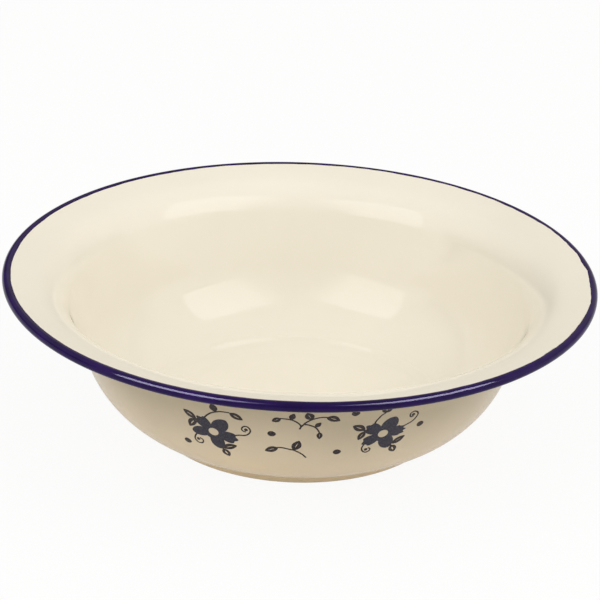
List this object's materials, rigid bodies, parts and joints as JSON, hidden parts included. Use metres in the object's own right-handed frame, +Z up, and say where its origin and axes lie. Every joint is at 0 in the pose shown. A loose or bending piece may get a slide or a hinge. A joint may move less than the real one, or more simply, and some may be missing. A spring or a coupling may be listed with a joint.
{
  "type": "enamel basin bowl",
  "caption": "Wide round enamelled steel basin with a stepped foot, curved wall, sloping brim and rolled rim, for washing, soaking or mixing.",
  "frame": {"origin": "centre of the standing face, on the surface that the basin stands on", "axes": "+Z up along the bowl's axis of revolution; the middle of the printed group of flowers faces -Y; +X to the right of a viewer who faces that print"},
  "size_m": [0.3999, 0.4, 0.1095],
  "materials": {
    "sheet_steel": "cold-rolled sheet, covered by the enamel",
    "cream_enamel": "glossy cream vitreous enamel",
    "blue_enamel": "glossy dark blue vitreous enamel"
  },
  "bodies": {
    "root": {"steel_shell": "sheet_steel", "inside_enamel": "cream_enamel", "outside_enamel": "cream_enamel", "rim_enamel": "blue_enamel"}
  },
  "joints": []
}
